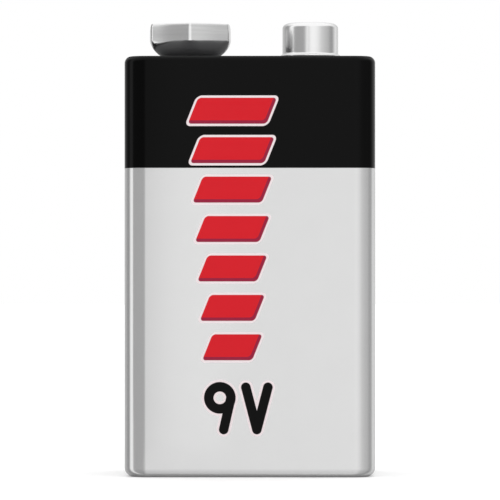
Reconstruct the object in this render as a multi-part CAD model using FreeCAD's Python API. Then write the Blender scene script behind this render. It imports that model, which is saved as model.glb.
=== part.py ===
# Nine volt block battery: six round cells in a folded steel jacket, with two snap terminals on top.
# Lengths are in millimetres. +Z is up, the front faces -Y, and +X is to the right seen from the front.
# The origin is the middle of the underside, on the plane that the battery stands on.
import FreeCAD, Part

import os
from math import acos, cos, radians, sin, sqrt, tan

# Envelope and jacket
width = 26.2                # over the jacket, left to right
depth = 17.3                # over the jacket, front to back
rim_height = 43.9           # from the underside to the top of the crimped rim
jacket_sheet = 0.3          # steel of the jacket
corner_radius = 2.3         # upright corners, outside
top_bend = 0.7              # bend over the terminal board, outside
base_bend = 0.95            # bend under the base plate, outside
crimp_reach = 1.9           # how far the crimped lips reach in from the outer face
seam_lap = 2.8              # width of the joggled lap where the folded sheet meets itself
seam_cover = 0.5            # how far the lap's inner layer reaches past the outer layer's edge
seam_line = 0.12            # gap along the outer layer's edge
seam_sink = 0.2             # depth of that gap

# Clearances
fit = 0.05                  # between pieces that are pushed together
cell_gap = 0.1              # least gap between neighbouring cells
tail_gap = 0.15             # under a rivet's tail

# Board, plate, cards and wraps
board_edge = 0.8            # board's upright edge, under its bevel
plate_edge = 0.3            # plate's upright edge, over its bevel
card = 0.3                  # insulating cards over and under the cells
liner_wall = 0.15           # card wrap inside the jacket

# Cells
pip_radius = 1.4            # positive pip
pip_height = 0.8

# Welded strips
strip = 0.15                # thickness of every nickel strip
lead_margin = 1.3           # how far a lead reaches past the pip and the rivet on its sides

# Terminals
terminal_spacing = 12.7     # between the two terminal axes
stud_diameter = 5.92
stud_height = 3.85          # from the board to the stud's top
stud_sheet = 0.3
stud_roll = 0.45            # bend round the top of the stud, outside
stud_mouth = 3.4            # diameter of the hole in the stud's top
flange_flare = 0.2          # fillet from the flange up into the wall
flange_reach = 0.23         # flange beyond the wall

snap_bite = 0.155           # how much smaller than the stud the petals' grip is, on radius
socket_sheet = 0.3
socket_height = 3.65        # from the board to the socket's top
crease_height = 1.8         # from the board to the crease where the bowl meets the six flats
bowl_foot = 1.85            # radius of the bowl's flat foot on the board
socket_roll = 0.35          # bend round the top outer edge, outside
socket_land = 0.375         # flat ring on top, between the outer bend and the lead-in
socket_corner = 0.5         # upright corners between the flats, outside
petal_lead = 0.75           # lead-in at 45 degrees from the top down to the grip
petal_grip = 1.1            # straight gripping length of a petal
petal_tip = 0.3             # height of the turned-out tip
petal_flare = 0.2           # how far the tip turns out
petal_slit = 0.5            # gap between neighbouring petals
petals = 6                  # one behind each flat
bowl_levels = 4             # steps in which the bowl rises
corner_flats = 4            # flats round each of the socket's upright corners
bend_facets = 2             # flats round each small bend of the two terminals

rivet_shank = 1.6           # diameter
rivet_head = 3.0            # diameter
rivet_dome = 0.45           # height of the bevelled head
rivet_tail = 2.5            # diameter of the clinched tail
tail_height = 0.3

# Levels, from the underside up
plate_top = base_bend + plate_edge
card_top = plate_top + card
cell_foot = card_top + strip
# and from the rim down
lip_under = rim_height - jacket_sheet
board_under = lip_under - (top_bend - jacket_sheet) - board_edge
tail_end = board_under - strip - tail_height
cell_head = tail_end - tail_gap - card - strip
cell_length = cell_head - cell_foot
seat = rim_height           # the board's land, which carries both terminals, is level with the rim

# Room for the cells inside the liner
room_x = width / 2 - jacket_sheet - liner_wall - 2 * fit
room_y = depth / 2 - jacket_sheet - liner_wall - 2 * fit
cell_radius = min(room_y / 2 - cell_gap / 4, (room_x - cell_gap) / 3)
column = room_x - cell_radius           # the outer cells' distance from the middle, across
row = room_y - cell_radius              # every cell's distance from the middle, front to back
stations = [(-column, -row), (-column, row), (0, row), (0, -row), (column, -row), (column, row)]
lead_fold = row + pip_radius            # where the leads' folds start, front or back of the middle

# The socket's plan grows outwards from the grip: lead-in, land and outer bend
terminal_x = terminal_spacing / 2
grip = stud_diameter / 2 - snap_bite
mouth = grip + petal_lead
socket_flat = mouth + socket_land + socket_roll     # from the axis to a flat
socket_top = seat + socket_height

ROUNDEST = 0.97             # corner radius as a share of the flats' distance that is nearly a circle
TINY = 0.001
THROUGH = 1.0               # how far a cutting tool runs past what it cuts


def slab(length, breadth, corner, low, high):
    """An upright block centred on the Z axis, with round upright edges."""
    block = Part.makeBox(length, breadth, high - low, FreeCAD.Vector(-length / 2, -breadth / 2, low))
    upright = [edge for edge in block.Edges if edge.BoundBox.ZLength > TINY]
    return block.makeFillet(corner, upright)


def level_edges(solid, height):
    """The edges of a solid that lie level at one height."""
    return [edge for edge in solid.Edges
            if abs(edge.BoundBox.ZMin - height) < TINY and abs(edge.BoundBox.ZMax - height) < TINY]


def folded_over(solid, bend, level, inwards):
    """Turns a solid's sharp level rim into a bend of three flats that touch the true arc from outside."""
    first = bend * (2 - sqrt(2))
    solid = solid.makeChamfer(first, level_edges(solid, level))
    second = bend * (tan(radians(22.5)) - tan(radians(11.25)))
    return solid.makeChamfer(second, level_edges(solid, level) + level_edges(solid, level + inwards * first))


def drum(radius, low, high, x=0.0, y=0.0):
    """An upright cylinder."""
    return Part.makeCylinder(radius, high - low, FreeCAD.Vector(x, y, low))


def bend_step(centre, radius, start, end):
    """The step of a profile that goes round a bend, from one angle to another: its middle and its end."""
    middle = (start + end) / 2
    return [(centre[0] + radius * cos(radians(angle)), centre[1] + radius * sin(radians(angle)))
            for angle in (middle, end)]


def facet_steps(centre, radius, start, end, count):
    """The steps that go round a small bend as a number of flats, each touching the true arc at its ends."""
    angles = [start + (end - start) * index / count for index in range(1, count + 1)]
    return [(centre[0] + radius * cos(radians(angle)), centre[1] + radius * sin(radians(angle)))
            for angle in angles]


def profile(steps, place):
    """A flat face inside a closed outline. A step is a point to run straight to, or a bend_step."""
    first = place(*steps[0])
    here = first
    edges = []
    for step in steps[1:]:
        if isinstance(step, list):
            middle, end = (place(*point) for point in step)
            edges.append(Part.Arc(here, middle, end).toShape())
        else:
            end = place(*step)
            edges.append(Part.LineSegment(here, end).toShape())
        here = end
    if here.distanceToPoint(first) > TINY:
        edges.append(Part.LineSegment(here, first).toShape())
    return Part.Face(Part.Wire(edges))


def turned(steps, x=0.0, y=0.0):
    """A solid turned about an upright axis from a half section of (radius, height) steps."""
    half = profile(steps, lambda radius, height: FreeCAD.Vector(radius, 0, height))
    solid = half.revolve(FreeCAD.Vector(0, 0, 0), FreeCAD.Vector(0, 0, 1), 360)
    solid.translate(FreeCAD.Vector(x, y, 0))
    return solid


def jacket():
    """Folded sheet with a joggled lap seam on its left side, crimped in at both ends."""
    skin = slab(width, depth, corner_radius, 0, rim_height)
    skin = folded_over(skin, base_bend, 0, 1)
    skin = folded_over(skin, top_bend, rim_height, -1)
    inside = slab(width - 2 * jacket_sheet, depth - 2 * jacket_sheet, corner_radius - jacket_sheet,
                  jacket_sheet, lip_under)
    inside = inside.makeChamfer(inside_bevel(base_bend), level_edges(inside, jacket_sheet))
    inside = inside.makeChamfer(inside_bevel(top_bend), level_edges(inside, lip_under))
    shell = skin.cut(inside).cut(jacket_window(0, -THROUGH, rim_height + THROUGH))
    lap = Part.makeBox(jacket_sheet, seam_lap, cell_length,
                       FreeCAD.Vector(-width / 2 + jacket_sheet, seam_cover - seam_lap, cell_foot))
    edge_gap = Part.makeBox(seam_sink, seam_line, rim_height - top_bend - base_bend,
                            FreeCAD.Vector(-width / 2, -seam_line / 2, base_bend))
    return shell.fuse(lap).cut(edge_gap).removeSplitter()


def inside_bevel(bend):
    """The bevel that keeps the sheet's thickness in the middle of a bend of a given outside radius."""
    return (bend - jacket_sheet) * (2 - sqrt(2))


def jacket_window(clearance, low, high):
    """A block that fills the opening inside the crimped lips, less a clearance all round."""
    inset = crimp_reach + clearance
    return Part.makeBox(width - 2 * inset, depth - 2 * inset, high - low,
                        FreeCAD.Vector(inset - width / 2, inset - depth / 2, low))


def jacket_filler(low, high):
    """A block that fits inside the jacket's walls."""
    inset = jacket_sheet + fit
    return slab(width - 2 * inset, depth - 2 * inset, corner_radius - inset, low, high)


def terminal_board():
    """Moulded board, bevelled to clear the top bend, with a land that fills the window up to the rim."""
    board = jacket_filler(board_under, lip_under)
    board = board.makeChamfer(top_bend - jacket_sheet, level_edges(board, lip_under))
    board = board.fuse(jacket_window(fit, lip_under, seat))
    for side in (-1, 1):
        bore = drum(rivet_shank / 2 + fit, board_under - THROUGH, seat + THROUGH, side * terminal_x)
        board = board.cut(bore)
    return board.removeSplitter()


def base_plate():
    """Moulded plate that lies on the bottom lip, bevelled to clear the bottom bend."""
    plate = jacket_filler(jacket_sheet, plate_top)
    return plate.makeChamfer(base_bend - jacket_sheet, level_edges(plate, jacket_sheet))


def liner():
    """Card wrap round the cells, left open over the lap seam."""
    inset = jacket_sheet + fit
    inner = inset + liner_wall
    wrap = jacket_filler(plate_top, board_under)
    wrap = wrap.cut(slab(width - 2 * inner, depth - 2 * inner, corner_radius - inner,
                         plate_top - THROUGH, board_under + THROUGH))
    gap = Part.makeBox(width / 2, seam_lap + 2 * card, rim_height,
                       FreeCAD.Vector(-width / 2 - room_x, seam_cover - seam_lap - card, 0))
    return wrap.cut(gap)


def insulating_card(low):
    """A flat card that lies inside the liner."""
    corner = corner_radius - jacket_sheet - liner_wall - 2 * fit
    return slab(2 * room_x, 2 * room_y, corner, low, low + card)


def top_card():
    """The card over the cells, notched where the two leads fold past its edge."""
    sheet = insulating_card(cell_head + strip)
    notch_width = column - terminal_x + 2 * lead_margin + 2 * card
    notch = Part.makeBox(notch_width, depth, rim_height,
                         FreeCAD.Vector((column + terminal_x - notch_width) / 2, lead_fold - fit, 0))
    sheet = sheet.cut(notch)
    notch.rotate(FreeCAD.Vector(0, 0, 0), FreeCAD.Vector(0, 0, 1), 180)
    return sheet.cut(notch)


def cell(station, pip_up):
    """A sealed round cell in its shrunk film: a flat negative cap at one end, a pip at the other."""
    shoulder = cell_length - pip_height
    can = turned([
        (0, 0),
        (cell_radius, 0),
        (cell_radius, shoulder),
        (pip_radius, shoulder),
        (pip_radius, cell_length),
        (0, cell_length),
    ])
    if not pip_up:
        can.rotate(FreeCAD.Vector(0, 0, cell_length / 2), FreeCAD.Vector(1, 0, 0), 180)
    can.translate(FreeCAD.Vector(station[0], station[1], cell_foot))
    return can


def link(first, second, low):
    """A straight cut strip welded across the ends of two neighbouring cells."""
    left = min(first[0], second[0]) - pip_radius
    front = min(first[1], second[1]) - pip_radius
    length = abs(second[0] - first[0]) + 2 * pip_radius
    breadth = abs(second[1] - first[1]) + 2 * pip_radius
    return Part.makeBox(length, breadth, strip, FreeCAD.Vector(left, front, low))


def positive_lead():
    """A strip welded on the last cell's pip, folded back over the top card and riveted under the board."""
    half_height = (board_under - cell_head) / 2
    middle = (lead_fold, cell_head + half_height)
    face = profile([
        (row - pip_radius, cell_head),
        (lead_fold, cell_head),
        bend_step(middle, half_height, -90, 90),
        (-rivet_tail / 2, board_under),
        (-rivet_tail / 2, board_under - strip),
        (lead_fold, board_under - strip),
        bend_step(middle, half_height - strip, 90, -90),
        (row - pip_radius, cell_head + strip),
    ], lambda y, z: FreeCAD.Vector(terminal_x - lead_margin, y, z))
    lead = face.extrude(FreeCAD.Vector(column - terminal_x + 2 * lead_margin, 0, 0))
    bore = drum(rivet_shank / 2 + fit, board_under - strip - TINY, board_under + THROUGH, terminal_x)
    return lead.cut(bore)


def negative_lead():
    """The same strip at the opposite corner, from the first cell's cap to the socket's rivet."""
    lead = positive_lead()
    lead.rotate(FreeCAD.Vector(0, 0, 0), FreeCAD.Vector(0, 0, 1), 180)
    return lead


def rivet(x, sheet):
    """Bevelled rivet through a terminal's foot, the board and a lead, clinched underneath."""
    head = seat + sheet
    lead_under = board_under - strip
    return turned([
        (0, tail_end),
        (rivet_tail / 2, tail_end),
        (rivet_tail / 2, lead_under),
        (rivet_shank / 2, lead_under),
        (rivet_shank / 2, head),
        (rivet_head / 2, head),
        (rivet_head / 2 - rivet_dome, head + rivet_dome),
        (0, head + rivet_dome),
    ], x)


def positive_stud():
    """Drawn stud: hemmed flange, straight wall, and a top rolled in round its mouth."""
    hem = seat + 2 * stud_sheet
    top = seat + stud_height
    wall = stud_diameter / 2
    return turned([
        (rivet_shank / 2 + fit, seat),
        (wall + flange_reach, seat),
        (wall + flange_reach, hem),
        (wall + flange_flare, hem),
        *facet_steps((wall + flange_flare, hem + flange_flare), flange_flare, 270, 180, bend_facets),
        (wall, top - stud_roll),
        *facet_steps((wall - stud_roll, top - stud_roll), stud_roll, 0, 90, bend_facets),
        (stud_mouth / 2, top),
        (stud_mouth / 2, top - stud_sheet),
        (wall - stud_sheet, top - stud_sheet),
        (wall - stud_sheet, seat + stud_sheet),
        (rivet_shank / 2 + fit, seat + stud_sheet),
    ], terminal_x)


def hexagon_ring(flat, corner, height):
    """The points of a level six-sided outline with rounded corners, one corner towards the front."""
    centre_reach = (flat - corner) / cos(radians(30))
    ring = []
    for side in range(6):
        facing = 60 * side - 90
        for step in range(corner_flats + 1):
            angle = facing - 30 + 60 * step / corner_flats
            ring.append(FreeCAD.Vector(centre_reach * cos(radians(facing)) + corner * cos(radians(angle)),
                                       centre_reach * sin(radians(facing)) + corner * sin(radians(angle)),
                                       height))
    return ring


def skinned(rings):
    """A solid with flat faces between level outlines that have the same number of points."""
    outlines = [rings[0], rings[-1]]
    for lower, upper in zip(rings, rings[1:]):
        for point in range(len(lower)):
            outlines.append([lower[point - 1], lower[point], upper[point], upper[point - 1]])
    skin = Part.Shell([Part.Face(Part.makePolygon([*outline, outline[0]])) for outline in outlines])
    skin.sewShape()
    return Part.Solid(skin)


def bowl_rings(inset):
    """Outlines up the socket's bowl, on its outside or an inset inside it, from its foot to the crease.

    From a flat round foot the bowl swells outwards and upwards along one arc and turns six-sided,
    until it meets the flats.
    """
    swell = socket_flat - bowl_foot
    bowl_radius = (swell ** 2 + crease_height ** 2) / (2 * crease_height)
    crease_angle = acos(1 - crease_height / bowl_radius)
    sharpest = max(socket_corner - inset, socket_corner / 3)
    rings = []
    for level in range(bowl_levels + 1):
        rise = level / bowl_levels
        angle = rise * crease_angle
        flat = bowl_foot + (swell - inset) * sin(angle) / sin(crease_angle)
        corner = sharpest + (ROUNDEST * flat - sharpest) * (1 - rise ** 3)
        rings.append(hexagon_ring(flat, corner, seat + bowl_radius - (bowl_radius - inset) * cos(angle)))
    return rings


def socket_outside():
    """The socket's outer form: the bowl, six upright flats, and the bend round the top."""
    roll = min(socket_roll, 0.8 * socket_corner)
    rings = bowl_rings(0)
    for flat, height in [(socket_flat, socket_top - roll),
                         *facet_steps((socket_flat - roll, socket_top - roll), roll, 0, 90, bend_facets)]:
        rings.append(hexagon_ring(flat, socket_corner - (socket_flat - flat), height))
    return skinned(rings)


def socket_hollow():
    """The room inside the socket, one sheet thickness in from its outside."""
    rings = bowl_rings(socket_sheet)
    ceiling = [FreeCAD.Vector(point.x, point.y, socket_top - socket_sheet) for point in rings[-1]]
    return skinned([*rings, ceiling])


def petal_ring():
    """The petals before they are parted: a lead-in from the top, a straight grip and a turned-out tip."""
    lead_foot = socket_top - petal_lead
    grip_foot = lead_foot - petal_grip
    tip = grip_foot - petal_tip
    miter = socket_sheet * tan(radians(22.5))
    return turned([
        (mouth, socket_top),
        (grip, lead_foot),
        (grip, grip_foot),
        (grip + petal_flare, tip),
        (grip + petal_flare + socket_sheet, tip),
        (grip + socket_sheet, grip_foot),
        (grip + socket_sheet, lead_foot - miter),
        (mouth + miter, socket_top - socket_sheet),
        (mouth + miter, socket_top),
    ])


def petal_gap():
    """The tool that parts two petals: a slot out to the mouth's edge."""
    low = socket_top - petal_lead - petal_grip - petal_tip - TINY
    return Part.makeBox(mouth, petal_slit, socket_top + THROUGH - low,
                        FreeCAD.Vector(0, -petal_slit / 2, low))


def negative_socket():
    """Pressed six-sided socket: one sheet, rolled in at the top and parted into spring petals."""
    shell = socket_outside().cut(socket_hollow())
    shell = shell.cut(drum(mouth, socket_top - socket_sheet - TINY, socket_top + THROUGH))
    shell = shell.fuse(petal_ring()).removeSplitter()
    for petal in range(petals):
        slot = petal_gap()
        slot.rotate(FreeCAD.Vector(0, 0, 0), FreeCAD.Vector(0, 0, 1), 30 + 360 * petal / petals)
        shell = shell.cut(slot)
    shell = shell.cut(drum(rivet_shank / 2 + fit, seat - THROUGH, seat + THROUGH))
    shell.translate(FreeCAD.Vector(-terminal_x, 0, 0))
    return shell


def build():
    """Every piece by name."""
    pieces = {
        "jacket": jacket(),
        "terminal_board": terminal_board(),
        "base_plate": base_plate(),
        "liner": liner(),
        "top_card": top_card(),
        "base_card": insulating_card(plate_top),
        "positive_stud": positive_stud(),
        "negative_socket": negative_socket(),
        "positive_rivet": rivet(terminal_x, stud_sheet),
        "negative_rivet": rivet(-terminal_x, socket_sheet),
        "positive_lead": positive_lead(),
        "negative_lead": negative_lead(),
    }
    for index, station in enumerate(stations):
        pieces[f"cell_{index + 1}"] = cell(station, index % 2 == 1)
    for index in range(3):
        pieces[f"base_link_{index + 1}"] = link(stations[2 * index], stations[2 * index + 1], card_top)
    for index in range(2):
        pieces[f"top_link_{index + 1}"] = link(stations[2 * index + 1], stations[2 * index + 2], cell_head)
    return pieces


os.makedirs("parts", exist_ok=True)
for name, piece in build().items():
    piece.exportStep(f"parts/{name}.step")
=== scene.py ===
from math import asin, atan2, cos, degrees, pi, radians, sin, sqrt, tan

import bmesh
import bpy
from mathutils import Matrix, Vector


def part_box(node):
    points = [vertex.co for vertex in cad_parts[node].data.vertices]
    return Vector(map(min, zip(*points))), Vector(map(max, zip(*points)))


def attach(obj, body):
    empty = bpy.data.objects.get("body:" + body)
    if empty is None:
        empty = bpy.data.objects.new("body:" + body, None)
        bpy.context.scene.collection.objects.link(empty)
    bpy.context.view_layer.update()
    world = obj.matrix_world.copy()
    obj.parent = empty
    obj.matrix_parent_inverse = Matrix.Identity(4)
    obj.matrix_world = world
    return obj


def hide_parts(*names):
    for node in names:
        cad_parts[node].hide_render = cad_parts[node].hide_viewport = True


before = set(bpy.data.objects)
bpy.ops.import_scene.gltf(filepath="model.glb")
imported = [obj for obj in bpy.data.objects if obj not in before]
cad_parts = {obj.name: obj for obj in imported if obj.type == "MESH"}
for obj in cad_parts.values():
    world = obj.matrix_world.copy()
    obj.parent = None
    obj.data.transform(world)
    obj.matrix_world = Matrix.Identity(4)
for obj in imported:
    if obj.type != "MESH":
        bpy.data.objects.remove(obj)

bl_info = {
    "name": "Nine volt battery",
    "version": (1, 0, 0),
    "blender": (4, 5, 0),
    "location": "View3D > Sidebar > Battery",
    "description": "Skins, terminals, inks and studio for a nine volt block battery on its CAD solids",
    "category": "Object",
}

MM = 0.001
jacket_low, jacket_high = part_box("jacket")
stud_low, stud_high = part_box("positive_stud")
socket_low, socket_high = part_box("negative_socket")


def linear(colour):
    """An sRGB hex colour such as #D81F2A as linear red, green, blue."""
    channels = [int(colour[place:place + 2], 16) / 255 for place in (1, 3, 5)]
    return [c / 12.92 if c <= 0.04045 else ((c + 0.055) / 1.055) ** 2.4 for c in channels]


def length(name, description, default):
    """A size that a user may change, in metres."""
    return bpy.props.FloatProperty(name=name, description=description, default=default, min=0.0,
                                   unit="LENGTH", subtype="DISTANCE", precision=5)


def colour(name, description, default):
    """A colour that a user may change, from its sRGB hex value."""
    return bpy.props.FloatVectorProperty(name=name, description=description, default=linear(default),
                                         min=0.0, max=1.0, subtype="COLOR")


class JacketSettings(bpy.types.PropertyGroup):
    sheet: length("Sheet", "Thickness of the folded steel", 0.3 * MM)
    corner: length("Corner", "Radius of the upright corners, outside", 2.3 * MM)
    top_bend: length("Top bend", "Radius of the bend over the terminal board, outside", 0.7 * MM)
    base_bend: length("Base bend", "Radius of the bend under the base plate, outside", 0.95 * MM)
    lip: length("Lip", "How far the crimped lips reach in from the outer face", 1.9 * MM)
    seam_line: length("Seam line", "Gap along the edge of the overlapping sheet", 0.12 * MM)
    seam_sink: length("Seam sink", "Depth of that gap", 0.2 * MM)
    bend_steps: bpy.props.IntProperty(name="Bend steps", description="Strips round each bend",
                                      default=12, min=3, max=32)


class PrintSettings(bpy.types.PropertyGroup):
    silver: colour("Silver", "Bare plate under clear lacquer, the lower field", "#CDCDCD")
    black: colour("Black", "Ink of the upper field and the figures", "#010101")
    red: colour("Red", "Main ink of the bars", "#D81F2A")
    crimson: colour("Crimson", "Second ink, on the bars' lower edges", "#98233F")
    white: colour("White", "Ink of the keylines", "#F3E6E8")
    boundary: length("Boundary", "Height where the black field ends", 32.21 * MM)


class TerminalSettings(bpy.types.PropertyGroup):
    sheet: length("Sheet", "Thickness of the pressed terminals", 0.3 * MM)
    bore: length("Bore", "Radius of the rivet holes", 0.85 * MM)
    stud_roll: length("Stud roll", "Bend round the top of the stud", 0.58 * MM)
    stud_mouth: length("Stud mouth", "Radius of the hole in the stud's top", 1.7 * MM)
    stud_flare: length("Stud flare", "Height of the flare from the flange up into the wall", 0.26 * MM)
    flange_reach: length("Flange reach", "How far the flange stands out from the wall", 0.23 * MM)
    crease: length("Crease", "Height of the socket's crease over the board", 1.8 * MM)
    bowl_foot: length("Bowl foot", "Radius of the socket's flat foot", 1.85 * MM)
    socket_roll: length("Socket roll", "Bend round the socket's top edge", 0.16 * MM)
    socket_corner: length("Socket corner", "Upright corners between the flats", 0.5 * MM)
    crown: length("Crown", "How far the flats fall away towards the corners", 0.14 * MM)
    mouth: length("Mouth", "Radius where the petals turn down", 3.555 * MM)
    grip: length("Grip", "Radius on which the petals grip a stud", 2.805 * MM)
    slit: length("Slit", "Gap between neighbouring petals", 0.5 * MM)


class StudioSettings(bpy.types.PropertyGroup):
    distance: length("Distance", "From the camera to the object's middle", 0.45)
    eye: length("Eye", "Height of the camera over the floor", 21.95 * MM)
    aside: length("Aside", "Camera's place to the right of the middle", 3.8 * MM)
    focal: bpy.props.FloatProperty(name="Focal length", description="In pixels of a 500 pixel frame",
                                   default=4245.0, min=100.0)
    horizon: bpy.props.FloatProperty(name="Horizon", description="Row of the horizon, in pixels",
                                     default=266.55)


SETTINGS = {"jacket": JacketSettings, "ink": PrintSettings, "terminal": TerminalSettings,
            "studio": StudioSettings}


def settings(group):
    """The values of one group, as the scene holds them."""
    return getattr(bpy.context.scene, f"battery_{group}")


# Shapes

def skin(name, rings):
    """A closed mesh from rings of points with equal numbers of columns, the last ring joined to the first.

    A column that a ring leaves out is None. Next to left-out columns the wall is closed between the
    nearest whole rings, and the cut edges get faces of their own, as where a slit parts two petals.
    """
    mesh = bmesh.new()
    points = [[None if point is None else mesh.verts.new(point) for point in ring] for ring in rings]
    columns = len(rings[0])
    order = [*range(len(rings)), 0]
    for column in range(columns):
        after = (column + 1) % columns
        gone = [row for row, ring in enumerate(points) if ring[column] is None or ring[after] is None]
        for row, above in zip(order, order[1:]):
            if row not in gone and above not in gone:
                mesh.faces.new([points[row][column], points[row][after], points[above][after],
                                points[above][column]])
        if gone:
            low, high = min(gone) - 1, max(gone) + 1
            mesh.faces.new([points[low][column], points[low][after], points[high][after],
                            points[high][column]])
            for edge, beyond in ((column, column - 1), (after, (after + 1) % columns)):
                if points[gone[0]][edge] is not None and points[gone[0]][beyond] is not None:
                    mesh.faces.new([points[row][edge] for row in range(low, high + 1)])
    bmesh.ops.recalc_face_normals(mesh, faces=mesh.faces)
    return piece(name, mesh)


def piece(name, mesh):
    """An object of the battery from finished mesh data, with smooth bends and crisp creases."""
    data = bpy.data.meshes.new(name)
    mesh.to_mesh(data)
    mesh.free()
    data.shade_smooth()
    data.set_sharp_from_angle(angle=radians(14))
    thing = bpy.data.objects.new(name, data)
    bpy.context.scene.collection.objects.link(thing)
    weighting = thing.modifiers.new("Even flats", "WEIGHTED_NORMAL")
    weighting.keep_sharp = True
    return thing


def turned(name, profile, centre, segments):
    """A piece turned about an upright axis from a closed half section of (radius, height) points."""
    turns = [2 * pi * segment / segments for segment in range(segments)]
    return skin(name, [[(centre[0] + radius * cos(turn), centre[1] + radius * sin(turn), height)
                        for turn in turns] for radius, height in profile])


def bend(centre, radius, start, end, steps):
    """Points round a bend, from one angle to another in degrees."""
    angles = [radians(start + (end - start) * step / steps) for step in range(steps + 1)]
    return [(centre[0] + radius * cos(angle), centre[1] + radius * sin(angle)) for angle in angles]


def oval_bend(reach, depth, edge, top, steps):
    """Points over a bend that is a quarter of an oval, from an upright wall up to a level top."""
    return [(edge - reach + x, top - depth + y * depth / reach)
            for x, y in bend((0, 0), reach, 0, 90, steps)]


def finish_piece(thing, nodes, slot, *finishes):
    """Puts a piece in place of its solids and gives it its finishes."""
    for material in finishes:
        thing.data.materials.append(material)
    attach(thing, "root")
    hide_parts(*nodes)
    return thing


# Finishes

class Measure:
    """A number that differs from point to point, such as a distance in mm. Sums on it become nodes."""

    def __init__(self, tree, output):
        self.tree, self.output = tree, output

    def worked(self, operation, *terms):
        """The result of an operation on measures and plain numbers."""
        node = add(self.tree, "ShaderNodeMath", dict(enumerate(terms)), operation=operation)
        return Measure(self.tree, node.outputs[0])

    def __add__(self, other):
        return self.worked("ADD", self, other)

    def __sub__(self, other):
        return self.worked("SUBTRACT", self, other)

    def __rsub__(self, other):
        return self.worked("SUBTRACT", other, self)

    def __mul__(self, other):
        return self.worked("MULTIPLY", self, other)

    def __truediv__(self, other):
        return self.worked("DIVIDE", self, other)

    def __mod__(self, other):
        return self.worked("MODULO", self, other)

    def __abs__(self):
        return self.worked("ABSOLUTE", self)

    def least(self, other):
        """The smaller of two."""
        return self.worked("MINIMUM", self, other)

    def most(self, other):
        """The larger of two."""
        return self.worked("MAXIMUM", self, other)


def plug(tree, node, inputs):
    """Fills a node's inputs, each with a value, a measure, an output or a node's first output."""
    for socket, source in inputs.items():
        if isinstance(source, Measure):
            source = source.output
        elif isinstance(source, bpy.types.Node):
            source = source.outputs[0]
        if isinstance(source, bpy.types.NodeSocket):
            tree.links.new(source, node.inputs[socket])
        else:
            node.inputs[socket].default_value = source


def add(tree, kind, inputs=None, **options):
    """One node with its settings and what goes into it."""
    node = tree.nodes.new(kind)
    for name, value in options.items():
        setattr(node, name, value)
    plug(tree, node, inputs or {})
    return node


def finish(name):
    """A new material, its node tree and its main shader."""
    material = bpy.data.materials.new(name)
    material.use_nodes = True
    tree = material.node_tree
    return material, tree, tree.nodes["Principled BSDF"]


def opaque(colour):
    """A hex colour as a shader takes it, with full cover."""
    return (*linear(colour), 1)


def place_in_mm(tree):
    """The surface point in millimetres, in the battery's own frame."""
    place = add(tree, "ShaderNodeTexCoord").outputs["Object"]
    return add(tree, "ShaderNodeVectorMath", {0: place, 1: (1000, 1000, 1000)}, operation="MULTIPLY")


def directions(tree, vector):
    """The parts of a vector along X, Y and Z."""
    parts = add(tree, "ShaderNodeSeparateXYZ", {0: vector})
    return [Measure(tree, output) for output in parts.outputs]


def inked(distance, edge=0.02):
    """1 inside an outline and 0 outside, from a distance in mm, with an edge as sharp as a print's."""
    node = add(distance.tree, "ShaderNodeMapRange", {0: distance, 1: edge, 2: -edge, 3: 0.0, 4: 1.0})
    return Measure(distance.tree, node.outputs[0])


def span(across, up):
    """How far a point lies from the origin."""
    squares = across.worked("POWER", across, 2) + up.worked("POWER", up, 2)
    return squares.worked("SQRT", squares)


def box_distance(across, up, half_width, half_height, corner):
    """Signed distance in mm to a rectangle with round corners about the origin."""
    sideways = abs(across) - (half_width - corner)
    upwards = abs(up) - (half_height - corner)
    inner = sideways.most(upwards).least(0)
    return span(sideways.most(0), upwards.most(0)) + inner - corner


def stroke_distance(across, up, start, end, half_width):
    """Signed distance in mm to a straight stroke with round ends."""
    run = (end[0] - start[0], end[1] - start[1])
    size = run[0] ** 2 + run[1] ** 2
    x, y = across - start[0], up - start[1]
    along = (x * (run[0] / size) + y * (run[1] / size)).most(0).least(1)
    return span(x - along * run[0], y - along * run[1]) - half_width


def ring_distance(across, up, centre, radius, half_width):
    """Signed distance in mm to a ring."""
    return abs(span(across - centre[0], up - centre[1]) - radius) - half_width


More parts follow.
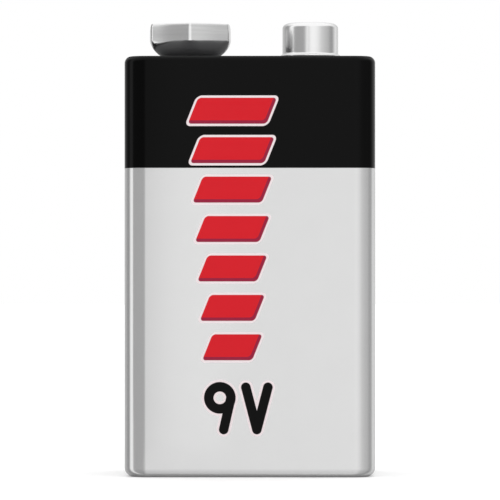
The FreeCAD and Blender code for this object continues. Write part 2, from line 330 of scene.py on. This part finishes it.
def printed_tinplate():
    """Tinplate, offset printed and lacquered: the eye sees a satin silver sheet and one flat black field,
    with a few opaque inks on the front and a soft gloss over everything."""
    ink = settings("ink")
    material, tree, shader = finish("printed_tinplate")
    place = place_in_mm(tree)
    x, y, z = directions(tree, place)
    # The bars and the figures are on the front face alone, the black field goes all round
    front_depth = 0.05
    front = inked(y - (jacket_low.y / MM + front_depth))
    black = inked(ink.boundary / MM - z)

    # Seven slanted bars, like a charge scale, each 0.5 mm narrower than the one above it
    bars, pitch, top, middle, lean = 7, 4.1, 40.2, -1.8, 0.4
    half_height, half_width, taper, corner, second_ink = 1.35, 4.1, 0.25, 0.35, 0.35
    down = top - z
    number = down.worked("FLOOR", down / pitch)
    up = down % pitch - pitch / 2
    across = x - middle + up * lean
    reach = half_width - number * taper
    bar = box_distance(across, up, reach, half_height, corner)
    moved_bar = box_distance(across + second_ink, up + second_ink, reach, half_height, corner)
    started = number.worked("GREATER_THAN", number, -0.5)
    ladder = front * started * number.worked("LESS_THAN", number, bars - 0.5)

    # The voltage in plain strokes 1 mm wide
    stroke, foot, head = 0.5, 5.0, 9.4
    bowl, bowl_radius, tail = (-3.1, 8.3), 1.15, -2.7
    nine = ring_distance(x, z, bowl, bowl_radius, stroke).least(
        stroke_distance(x, z, (bowl[0] + bowl_radius, bowl[1]), (tail, foot), stroke))
    left, point, right = -0.4, 0.75, 1.9
    volt = stroke_distance(x, z, (left, head), (point, foot), stroke).least(
        stroke_distance(x, z, (point, foot), (right, head), stroke))
    figure = nine.least(volt)

    # The inks in the order of printing, each over the last
    outline = 0.24
    keyline = ladder * inked(bar - outline)
    figure_line = front * inked(figure - outline)
    printed = (*ink.silver, 1)
    for tone, mask in ((ink.black, black), (ink.white, keyline), (ink.crimson, ladder * inked(bar)),
                       (ink.red, ladder * inked(bar.most(moved_bar))), (ink.white, figure_line),
                       (ink.black, front * inked(figure))):
        layer = add(tree, "ShaderNodeMix", {0: mask, 6: printed, 7: (*tone, 1)}, data_type="RGBA")
        printed = layer.outputs[2]

    # Ink lies unevenly by about one part in a hundred, in clouds 3 mm across
    clouds = add(tree, "ShaderNodeTexNoise", {"Vector": place, "Scale": 1 / 3.0, "Detail": 3.0})
    uneven = add(tree, "ShaderNodeMapRange", {0: clouds, 3: 0.985, 4: 1.015})
    mottled = add(tree, "ShaderNodeVectorMath", {0: printed, 1: uneven}, operation="MULTIPLY")

    # Where no opaque ink lies, the plate shines through the lacquer as metal
    shine = 0.76
    metal = (1 - black.most(keyline.most(figure_line))) * shine
    # The lacquer's gloss varies a little, in spots a quarter of a millimetre across
    spots = add(tree, "ShaderNodeTexNoise", {"Vector": place, "Scale": 1 / 0.25, "Detail": 2.0})
    rough = add(tree, "ShaderNodeMapRange", {0: spots, 3: 0.10, 4: 0.15})
    # The rollers that turn the top edge in leave the lacquer dull there
    edge = jacket_high.z / MM
    rolled = add(tree, "ShaderNodeMapRange", {0: z, 1: edge - 0.35, 2: edge - 0.1, 3: 0.0, 4: 0.45})
    plug(tree, shader, {"Base Color": mottled, "Metallic": metal,
                        "Roughness": Measure(tree, rough.outputs[0]) + rolled,
                        "IOR": 1.45, "Specular IOR Level": 0.1})
    return material


def bare_tinplate():
    """Tinplate, rolled and left bare inside the jacket: a dull grey metal with faint rolling lines."""
    material, tree, shader = finish("bare_tinplate")
    # Lines a twelfth of a millimetre apart, whose tone changes every 2 mm
    lines = add(tree, "ShaderNodeVectorMath", {0: place_in_mm(tree), 1: (0.5, 0.5, 12.0)},
                operation="MULTIPLY")
    rolled = add(tree, "ShaderNodeTexNoise", {"Vector": lines, "Scale": 1.0, "Detail": 2.0})
    rough = add(tree, "ShaderNodeMapRange", {0: rolled, 3: 0.3, 4: 0.42})
    plug(tree, shader, {"Base Color": opaque("#A9A9A8"), "Metallic": 1.0, "Roughness": rough})
    return material


def nickel_plate(name, tone, smooth, dull, relief, pitch=0.1, streak=0.04):
    """Steel, pressed and bright nickel plated: mirror-like bands of light, crossed by fine drawing lines
    that the press leaves round the walls. They are about 0.1 mm apart, and drawn coarser where they
    show."""
    material, tree, shader = finish(name)
    # Round the walls, a line keeps its tone for about 8 mm
    lines = add(tree, "ShaderNodeVectorMath", {0: place_in_mm(tree), 1: (0.12, 0.12, 1 / pitch)},
                operation="MULTIPLY")
    drawn = add(tree, "ShaderNodeTexNoise", {"Vector": lines, "Scale": 1.0, "Detail": 2.0,
                                             "Roughness": 0.6})
    rough = add(tree, "ShaderNodeMapRange", {0: drawn, 3: smooth, 4: dull})
    grey = add(tree, "ShaderNodeMapRange", {0: drawn, 3: 1 - streak, 4: 1 + streak})
    base = add(tree, "ShaderNodeVectorMath", {0: linear(tone), 1: grey}, operation="MULTIPLY")
    bump = add(tree, "ShaderNodeBump", {"Height": drawn, "Strength": relief, "Distance": 0.004 * MM})
    plug(tree, shader, {"Base Color": base, "Metallic": 1.0, "Roughness": rough, "Normal": bump})
    return material


def moulded_plastic():
    """Polystyrene, injection moulded in dark grey: an even matt face with a fine spark-eroded grain."""
    material, tree, shader = finish("moulded_polystyrene")
    # Grain 0.12 mm across, drawn coarser than the real one so that it shows
    grain = add(tree, "ShaderNodeTexNoise", {"Vector": place_in_mm(tree), "Scale": 1 / 0.12,
                                             "Detail": 2.0})
    tone = add(tree, "ShaderNodeMix", {0: grain, 6: opaque("#474748"), 7: opaque("#515152")},
               data_type="RGBA")
    rough = add(tree, "ShaderNodeMapRange", {0: grain, 3: 0.38, 4: 0.5})
    bump = add(tree, "ShaderNodeBump", {"Height": grain, "Strength": 0.3, "Distance": 0.01 * MM})
    plug(tree, shader, {"Base Color": tone.outputs[2], "Roughness": rough, "Normal": bump,
                        "IOR": 1.59, "Specular IOR Level": 0.15})
    return material


def shrink_film():
    """PVC film, shrunk tight round each cell: deep blue with a soft gloss and faint stretch marks."""
    material, tree, shader = finish("shrunk_pvc_film")
    # Marks half a millimetre apart and about 7 mm long, the way that the film shrank
    pull = add(tree, "ShaderNodeVectorMath", {0: place_in_mm(tree), 1: (2.0, 2.0, 0.15)},
               operation="MULTIPLY")
    marks = add(tree, "ShaderNodeTexNoise", {"Vector": pull, "Scale": 1.0, "Detail": 3.0})
    tone = add(tree, "ShaderNodeMix", {0: marks, 6: opaque("#16294A"), 7: opaque("#1D3560")},
               data_type="RGBA")
    rough = add(tree, "ShaderNodeMapRange", {0: marks, 3: 0.2, 4: 0.34})
    plug(tree, shader, {"Base Color": tone.outputs[2], "Roughness": rough, "IOR": 1.53})
    return material


def pressed_card():
    """Insulating card, calendered grey board: matt, with short fibres about 0.4 mm long."""
    material, tree, shader = finish("calendered_card")
    fibres = add(tree, "ShaderNodeTexNoise", {"Vector": place_in_mm(tree), "Scale": 1 / 0.4,
                                              "Detail": 5.0, "Distortion": 1.2})
    tone = add(tree, "ShaderNodeMix", {0: fibres, 6: opaque("#8B8C8B"), 7: opaque("#A3A3A0")},
               data_type="RGBA")
    bump = add(tree, "ShaderNodeBump", {"Height": fibres, "Strength": 0.4, "Distance": 0.02 * MM})
    plug(tree, shader, {"Base Color": tone.outputs[2], "Roughness": 0.8, "Normal": bump})
    return material


# Pieces

def jacket_ring(inset, height, corner, groove=False):
    """A level outline round the jacket, with four extra points where the seam line runs on the left."""
    made = settings("jacket")
    half_x, half_y = jacket_high.x - inset, jacket_high.y - inset
    sharpest, corner_steps, leaning_in = 0.03 * MM, 10, 0.97
    corner = max(corner, sharpest)
    line = made.seam_line / 2
    ring = []
    for side in range(4):
        centre = ((half_x - corner) * (1, -1, -1, 1)[side], (half_y - corner) * (1, 1, -1, -1)[side])
        ring += [(x, y, height) for x, y in bend(centre, corner, 90 * side, 90 * side + 90, corner_steps)]
        if side == 1:
            sunk = -half_x + (made.seam_sink if groove else 0)
            ring += [(-half_x, line, height), (sunk, line * leaning_in, height),
                     (sunk, -line * leaning_in, height), (-half_x, -line, height)]
    return ring


class BATTERY_OT_jacket(bpy.types.Operator):
    """Builds the folded steel jacket with its crimped lips and side seam, and prints it"""
    bl_idname = "battery.jacket"
    bl_label = "Jacket"

    def execute(self, context):
        made = settings("jacket")
        top, sheet, lip, bevel = jacket_high.z, made.sheet, made.lip, 0.05 * MM
        top_centre = (made.top_bend, top - made.top_bend)
        base_centre = (made.base_bend, made.base_bend)

        def rows(centre, radius, start, end):
            """Outlines round a bend, each as the inset, height and corner of a jacket_ring."""
            return [(inset, height, made.corner - inset)
                    for inset, height in bend(centre, radius, start, end, made.bend_steps)]

        outside = [(lip, top - sheet / 2, 0), (lip, top - bevel, 0), (lip - bevel, top, 0)]
        outside += rows(top_centre, made.top_bend, 90, 180)
        under = rows(base_centre, made.base_bend, 180, 270)
        under += [(lip - bevel, 0, 0), (lip, bevel, 0), (lip, sheet, 0)]
        inside = rows(base_centre, made.base_bend - sheet, 270, 180)
        inside += rows(top_centre, made.top_bend - sheet, 180, 90)
        inside.append((lip, top - sheet, 0))
        # The seam line runs between the two bends, so their outer edges are doubled, with and without it
        rings = [jacket_ring(*row) for row in outside]
        rings += [jacket_ring(*outside[-1], groove=True), jacket_ring(*under[0], groove=True)]
        rings += [jacket_ring(*row) for row in under]
        last_printed = len(rings) - 1
        rings += [jacket_ring(*row) for row in inside]
        thing = skin("jacket_skin", rings)
        finish_piece(thing, ["jacket"], "printed_steel", printed_tinplate(), bare_tinplate())
        # A face is bare tin where all its corners lie past the last printed row
        columns = len(rings[0])
        for face in thing.data.polygons:
            face.material_index = int(min(face.vertices) // columns >= last_printed)
        return {"FINISHED"}


class BATTERY_OT_stud(bpy.types.Operator):
    """Turns the positive stud from one drawn sheet, with its hemmed flange, rolled top and mouth"""
    bl_idname = "battery.stud"
    bl_label = "Positive stud"

    def execute(self, context):
        made = settings("terminal")
        seat, top, sheet, roll = stud_low.z, stud_high.z, made.sheet, made.stud_roll
        centre = ((stud_low.x + stud_high.x) / 2, 0)
        flange = stud_high.x - centre[0]
        wall = flange - made.flange_reach
        bevel, foot_bend, roll_reach = 0.1 * MM, 0.2 * MM, 0.85 * MM
        # The hem's edge stands clear of the board, rounds over and sweeps up into the wall
        hem, hem_rise, sweep = 0.13 * MM, 0.32 * MM, 60
        profile = [(made.bore, seat), (wall - bevel, seat), (wall, seat + bevel)]
        profile += bend((flange - hem, seat + hem_rise), hem, -75, sweep, 12)
        hem_end, hem_top = profile[-1]
        leave = radians(sweep)
        for step in range(1, 11):
            turn = radians(sweep - sweep * step / 10)
            profile.append((wall + (hem_end - wall) * (1 - cos(turn)) / (1 - cos(leave)),
                            hem_top + made.stud_flare * (sin(leave) - sin(turn)) / sin(leave)))
        profile += oval_bend(roll_reach, roll, wall, top, 14)
        profile += bend((made.stud_mouth + bevel, top - bevel), bevel, 90, 180, 5)
        profile += [(made.stud_mouth, top - sheet)]
        profile += bend((wall - roll, top - roll), roll - sheet, 90, 0, 6)
        profile += [(wall - sheet, seat + sheet + foot_bend), (wall - sheet - foot_bend, seat + sheet),
                    (made.bore, seat + sheet)]
        thing = turned("positive_stud_shell", profile, centre, 160)
        finish_piece(thing, ["positive_stud"], "nickel_plate",
                     nickel_plate("bright_nickel_stud", "#DADADA", 0.17, 0.24, 0.35))
        return {"FINISHED"}


# Each flat of the socket takes up a sixth of a turn, and its middle stands halfway between two corners
SIDE, HALF_SIDE = radians(60), radians(30)


def corner_start(flat, corner):
    """The angle from the middle of a flat to where its round corner starts."""
    return atan2(tan(HALF_SIDE) * (flat - corner), flat)


def hexagon_reach(beta, flat, corner, crown):
    """How far a six-sided outline with round corners reaches, at an angle from its nearest corner."""
    from_flat = HALF_SIDE - beta
    if from_flat <= corner_start(flat, corner):
        reach = flat / cos(from_flat)
    else:
        centre = (flat - corner) / cos(HALF_SIDE)
        reach = centre * cos(beta) + sqrt(corner ** 2 - (centre * sin(beta)) ** 2)
    return reach - crown * (sin(from_flat) / sin(HALF_SIDE)) ** 2


class BATTERY_OT_socket(bpy.types.Operator):
    """Presses the negative socket: round bowl, six crowned flats, rolled top and six spring petals"""
    bl_idname = "battery.socket"
    bl_label = "Negative socket"

    def execute(self, context):
        made = settings("terminal")
        seat, top, sheet = socket_low.z, socket_high.z, made.sheet
        middle = (socket_low.x + socket_high.x) / 2
        flat = socket_high.x - middle
        corner, roll, foot, rise = made.socket_corner, made.socket_roll, made.bowl_foot, made.crease
        # Columns stand closer together round the corners, and one stands at each side of a slit
        slit_edge = asin(made.slit / 2 / made.mouth)
        turn_end = HALF_SIDE - corner_start(flat, corner)
        wide = max(slit_edge, turn_end)
        betas = sorted([turn_end * step / 6 for step in range(7)] + [slit_edge]
                       + [wide + (HALF_SIDE - wide) * step / 8 for step in range(1, 9)])
        offsets = betas + [SIDE - beta for beta in reversed(betas[1:-1])]
        columns = [(side, offset) for side in range(6) for offset in offsets]

        def at(side, offset, reach, height):
            angle = radians(60 * side - 90) + offset
            return (middle + reach * cos(angle), reach * sin(angle), height)

        def nearest(offset):
            return min(offset, SIDE - offset)

        def six_sided(distance, round_corner, height, crown=made.crown):
            return [at(side, offset, hexagon_reach(nearest(offset), distance, round_corner, crown), height)
                    for side, offset in columns]

        def circle(radius, height):
            return [at(side, offset, radius, height) for side, offset in columns]

        def petal_circle(radius, height):
            """A ring of petals: nothing in the slits, whose sides stay parallel."""
            edge = asin(made.slit / 2 / radius)
            ring = []
            for side, offset in columns:
                beta = nearest(offset)
                if beta < slit_edge - 1e-6:
                    ring.append(None)
                    continue
                moved = edge + (beta - slit_edge) * (HALF_SIDE - edge) / (HALF_SIDE - slit_edge)
                ring.append(at(side, moved if offset == beta else SIDE - moved, radius, height))
            return ring

        def bowl(inset, sharpest, steps):
            """Outlines from the foot up to the crease along one arc, turning from round to six-sided."""
            swell, nearly_round = flat - foot, 0.985
            radius = (swell ** 2 + rise ** 2) / (2 * rise)
            last = asin(swell / radius)
            rings = []
            for step in range(steps + 1):
                share = step / steps
                angle = share * last
                distance = foot + (swell - inset) * sin(angle) / sin(last)
                turn = sharpest + (nearly_round * distance - sharpest) * (1 - share ** 3)
                height = seat + radius - (radius - inset) * cos(angle)
                rings.append(six_sided(distance, turn, height, made.crown * share ** 3))
            return rings

        # The crease is pressed, so it turns over about 0.1 mm and not along a line
        crease_inset, crease_under, crease_over = 0.012 * MM, 0.01 * MM, 0.11 * MM
        rings = [circle(made.bore, seat)] + bowl(0, corner, 14)[:-1]
        rings += [six_sided(flat - crease_inset, corner, seat + rise - crease_under),
                  six_sided(flat, corner, seat + rise + crease_over)]
        roll_depth = 0.9 * MM
        for distance, height in oval_bend(roll, roll_depth, flat, top, 12):
            rings.append(six_sided(distance, corner - (flat - distance), height))

        # A petal turns down at the mouth, leads in at 45 degrees, grips and ends in a turned-out tip
        mouth, grip, turn_down = made.mouth, made.grip, 0.25 * MM
        grip_length, tip, tip_out, soft, soft_out = 1.1 * MM, 1.4 * MM, 0.2 * MM, 0.06 * MM, 0.03 * MM
        lead_foot = top - (mouth - grip)
        ease, miter = turn_down * tan(radians(22.5)), sheet * tan(radians(22.5))
        front = bend((mouth + ease, top - turn_down), turn_down, 90, 135, 4)
        front += [(grip + ease / sqrt(2), lead_foot + ease / sqrt(2)),
                  (grip + 0.25 * ease, lead_foot + 0.2 * ease), (grip, lead_foot - ease),
                  (grip, lead_foot - grip_length + soft), (grip + soft_out, lead_foot - grip_length - soft),
                  (grip + tip_out, lead_foot - tip)]
        back = [(grip + tip_out + sheet, lead_foot - tip), (grip + sheet, lead_foot - grip_length),
                (grip + sheet, lead_foot - miter)]
        rings.append(circle(*front[0]))
        rings += [petal_circle(*step) for step in front[1:] + back]
        rings.append(circle(mouth + miter, top - sheet))

        # Inside the walls, down to the foot
        inner, inner_bend = max(corner - sheet, corner / 3), 0.12 * MM
        rings.append(six_sided(flat - sheet - inner_bend, inner, top - sheet))
        rings.append(six_sided(flat - sheet, inner, top - sheet - inner_bend))
        rings += list(reversed(bowl(sheet, inner, 10)))
        rings.append(circle(made.bore, seat + sheet))
        thing = skin("negative_socket_shell", rings)
        finish_piece(thing, ["negative_socket"], "nickel_plate",
                     nickel_plate("bright_nickel_socket", "#DADADA", 0.19, 0.27, 0.3, 0.24, 0.1))
        return {"FINISHED"}


class BATTERY_OT_rivets(bpy.types.Operator):
    """Turns the two rivets that hold the terminals to the board"""
    bl_idname = "battery.rivets"
    bl_label = "Rivets"

    def execute(self, context):
        steel = nickel_plate("tinned_rivet_steel", "#C9C6C2", 0.2, 0.3, 0.3)
        dome, rim, shank, tail, clinch = 0.45 * MM, 0.1 * MM, 0.8 * MM, 1.25 * MM, 0.3 * MM
        core, bevel = 0.02 * MM, 0.05 * MM
        for name in ("positive_rivet", "negative_rivet"):
            low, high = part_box(name)
            centre, head = ((low.x + high.x) / 2, 0), (high.x - low.x) / 2
            under = high.z - dome
            radius = (head ** 2 + (dome - rim) ** 2) / (2 * (dome - rim))
            half = degrees(asin(head / radius))
            profile = [(core, low.z), (tail - bevel, low.z), (tail, low.z + bevel), (tail, low.z + clinch),
                       (shank, low.z + clinch), (shank, under), (head, under)]
            # The dome stops just short of its middle, where the faces would shrink to nothing
            profile += bend((0, high.z - radius), radius, 90 - half, 89.2, 10)
            thing = turned(name + "_set", profile, centre, 96)
            finish_piece(thing, [name], "rivet_steel", steel)
        return {"FINISHED"}


def dress(nodes, material):
    """Gives solids that keep their own shape a finish."""
    for name in nodes:
        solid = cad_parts[name]
        solid.data.materials.clear()
        solid.data.materials.append(material)


class BATTERY_OT_mouldings(bpy.types.Operator):
    """Finishes the terminal board and the base plate"""
    bl_idname = "battery.mouldings"
    bl_label = "Mouldings"

    def execute(self, context):
        dress(["terminal_board", "base_plate"], moulded_plastic())
        return {"FINISHED"}


class BATTERY_OT_inside(bpy.types.Operator):
    """Finishes the cells, strips, cards and the liner that the jacket hides"""
    bl_idname = "battery.inside"
    bl_label = "Inside"

    def execute(self, context):
        dress([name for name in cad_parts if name.startswith("cell_")], shrink_film())
        dress([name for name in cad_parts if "link" in name or "lead" in name],
              nickel_plate("rolled_nickel_strip", "#C8C4BC", 0.22, 0.34, 0.3))
        dress(["liner", "top_card", "base_card"], pressed_card())
        return {"FINISHED"}


# Studio

# How bright the studio is at each bearing, in degrees from the camera towards the right
WALLS = [(-180, 1.0), (-147, 0.66), (-132, 0.6), (-120, 0.4), (-108, 0.32), (-100, 0.38), (-95, 1.0),
         (-89, 1.34), (-80, 1.5), (-76, 1.3), (-71, 0.84), (-66, 0.54), (-57, 0.49), (-19, 0.5),
         (-8, 0.78), (0, 1.26), (18, 1.28), (33, 1.13), (46, 0.88), (53, 0.81), (69, 0.68), (79, 0.64),
         (90, 0.47), (98, 0.4), (105, 0.45), (110, 0.62), (118, 0.86), (124, 1.04), (134, 1.02),
         (142, 0.84), (152, 0.78), (180, 1.0)]
# Painted contact shadow: how bright the floor is in reflections, by the distance in mm from the outline of
# the battery
PAINTED_CONTACT_SHADE = [(-0.7, 0.2), (-0.42, 0.36), (-0.13, 0.74), (0.21, 0.8), (1.25, 0.9), (4.0, 1.0)]
# How bright the glowing card is, a painted reflection, by the distance in mm to the right of the battery's
# middle
REFLECTION_GLOW = [(-200, 0.48), (-30.5, 0.48), (-24.5, 0.5), (-18.7, 0.66), (-13.5, 1.0), (-11, 1.2), (-8.5, 1.28),
        (-4.5, 1.3)]


def levels(value, points):
    """A level read off between (value, level) points."""
    low, high = points[0][0], points[-1][0]
    brightest = max(level for place, level in points)
    share = add(value.tree, "ShaderNodeMapRange", {0: value, 1: low, 2: high, 3: 0.0, 4: 1.0})
    ramp = add(value.tree, "ShaderNodeValToRGB", {0: share})
    stops = ramp.color_ramp.elements
    while len(stops) < len(points):
        stops.new(0.5)
    for stop, (place, level) in zip(stops, points):
        stop.position = (place - low) / (high - low)
        stop.color = (level / brightest, level / brightest, level / brightest, 1)
    return Measure(value.tree, ramp.outputs[0]) * brightest


def wall_level(right, back):
    """How bright the studio is towards a point to the right and to the back of the battery."""
    bearing = right.worked("ARCTAN2", right, back * -1) * (180 / pi)
    # The camera stands half a degree to the right, so mirrored bearings are half a degree less
    return levels(bearing + 0.48, WALLS)


def seen(path):
    """1 for what the camera sees itself or through glass, and 0 for light and reflections."""
    return Measure(path.id_data, path.outputs["Is Camera Ray"]).most(path.outputs["Is Transmission Ray"])


def light_walls():
    """White behind the object for the camera, and soft panels round it for everything else."""
    world = bpy.data.worlds.new("studio")
    bpy.context.scene.world = world
    world.use_nodes = True
    tree = world.node_tree
    tree.nodes.clear()
    right, back, up = directions(tree, add(tree, "ShaderNodeTexCoord").outputs["Generated"])
    # From 20 up to 53 degrees over the horizon, the walls pass into an even bright ceiling
    wall_top, ceiling_edge, ceiling = 0.35, 0.8, 1.35
    lift = add(tree, "ShaderNodeMapRange", {0: up, 1: wall_top, 2: ceiling_edge, 3: 0.0, 4: 1.0},
               interpolation_type="SMOOTHSTEP")
    lit = add(tree, "ShaderNodeMix", {0: lift, 2: wall_level(right, back), 3: ceiling})
    shown = add(tree, "ShaderNodeMix", {0: seen(add(tree, "ShaderNodeLightPath")), 2: lit, 3: 1.0})
    background = add(tree, "ShaderNodeBackground", {"Color": (1, 1, 1, 1), "Strength": shown})
    add(tree, "ShaderNodeOutputWorld", {0: background})


def floor_paint():
    """Matt white paint: white to the camera and darker where a shadow falls. Reflections look through it at
    the studio below, darkened towards the contact line under the battery by a painted contact shadow."""
    material, tree, shader = finish("white_floor")
    x, y = directions(tree, place_in_mm(tree))[:2]
    near = box_distance(x, y, jacket_high.x / MM, jacket_high.y / MM, settings("jacket").corner / MM)
    path = add(tree, "ShaderNodeLightPath")
    glow = 0.25
    plug(tree, shader, {"Base Color": (0.8, 0.8, 0.8, 1), "Roughness": 1.0, "Specular IOR Level": 0.0,
                        "Emission Color": (1, 1, 1, 1), "Emission Strength": seen(path) * glow})
    # Reflections see the studio through the floor, dimmed by a painted contact shadow near the battery
    through = add(tree, "ShaderNodeBsdfTransparent", {0: levels(near, PAINTED_CONTACT_SHADE)})
    split = add(tree, "ShaderNodeMixShader", {0: path.outputs["Is Glossy Ray"], 1: shader, 2: through})
    plug(tree, tree.nodes["Material Output"], {0: split})
    return material


def reflection_glow_paint():
    """A glowing card that lights nothing and that only reflections show, a painted reflection, lighter
    towards the edge next to the lens.
    """
    material, tree, shader = finish("glowing_reflection_card")
    x = directions(tree, place_in_mm(tree))[0]
    # The card's glow is a painted reflection: it shows only in reflections and lights nothing
    plug(tree, shader, {"Base Color": (0, 0, 0, 1), "Specular IOR Level": 0.0,
                        "Emission Color": (1, 1, 1, 1), "Emission Strength": levels(x, REFLECTION_GLOW)})
    return material


def panel(name, corners, paint):
    """A flat painted panel of the studio between four corners."""
    data = bpy.data.meshes.new(name)
    data.from_pydata(corners, [], [(0, 1, 2, 3)])
    data.materials.append(paint)
    thing = bpy.data.objects.new(name, data)
    bpy.context.scene.collection.objects.link(thing)
    return thing


class BATTERY_OT_studio(bpy.types.Operator):
    """Sets the floor, the soft light all round and the camera"""
    bl_idname = "battery.studio"
    bl_label = "Studio"

    def execute(self, context):
        made = settings("studio")
        scene = context.scene
        far = 2.0
        floor = panel("floor", [(-far, -far, 0), (far, -far, 0), (far, far, 0), (-far, far, 0)],
                      floor_paint())
        # A glowing card 66 mm before the battery's middle, to the left of the line from the lens: a painted
        # reflection that lights nothing
        left, right, front, height = -200 * MM, -4.5 * MM, -66 * MM, 100 * MM
        card = panel("card", [(left, front, 0), (right, front, 0), (right, front, height),
                              (left, front, height)], reflection_glow_paint())
        for kind in ("camera", "diffuse", "shadow", "transmission", "volume_scatter"):
            setattr(card, f"visible_{kind}", False)
        light_walls()
        frame_width, sensor = 500, 36.0
        lens = bpy.data.cameras.new("camera")
        lens.sensor_width = sensor
        lens.lens = sensor * made.focal / frame_width
        lens.shift_y = (made.horizon - frame_width / 2) / frame_width
        lens.clip_start, lens.clip_end = 0.01, 10.0
        camera = bpy.data.objects.new("camera", lens)
        camera.location = (made.aside, -made.distance, made.eye)
        # Turned so that the frame is centred between the battery's front corners, 6.35 mm before its middle
        aim_aside, aim_before = 0.0156 * MM, 6.35 * MM
        turn = atan2(made.aside - aim_aside, made.distance - aim_before)
        camera.rotation_euler = (radians(90), 0, turn)
        scene.collection.objects.link(camera)
        scene.camera = camera
        scene.view_settings.view_transform = "Standard"
        return {"FINISHED"}


OPERATORS = [BATTERY_OT_studio, BATTERY_OT_jacket, BATTERY_OT_stud, BATTERY_OT_socket, BATTERY_OT_rivets,
             BATTERY_OT_mouldings, BATTERY_OT_inside]


class BATTERY_PT_panel(bpy.types.Panel):
    """Lists the battery's settings and the steps that build it"""
    bl_idname = "BATTERY_PT_panel"
    bl_label = "Nine volt battery"
    bl_space_type = "VIEW_3D"
    bl_region_type = "UI"
    bl_category = "Battery"

    def draw(self, context):
        for step in OPERATORS:
            self.layout.operator(step.bl_idname)
        for group, kind in SETTINGS.items():
            box = self.layout.box()
            for name in kind.__annotations__:
                box.prop(settings(group), name)


def register():
    for kind in (*SETTINGS.values(), *OPERATORS, BATTERY_PT_panel):
        bpy.utils.register_class(kind)
    for group, kind in SETTINGS.items():
        setattr(bpy.types.Scene, f"battery_{group}", bpy.props.PointerProperty(type=kind))


def unregister():
    for group in SETTINGS:
        delattr(bpy.types.Scene, f"battery_{group}")
    for kind in (BATTERY_PT_panel, *reversed(OPERATORS), *reversed(SETTINGS.values())):
        bpy.utils.unregister_class(kind)


def main():
    register()
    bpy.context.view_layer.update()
    for step in (bpy.ops.battery.studio, bpy.ops.battery.jacket, bpy.ops.battery.stud,
                 bpy.ops.battery.socket, bpy.ops.battery.rivets, bpy.ops.battery.mouldings,
                 bpy.ops.battery.inside):
        step()


if __name__ == "__main__":
    main()
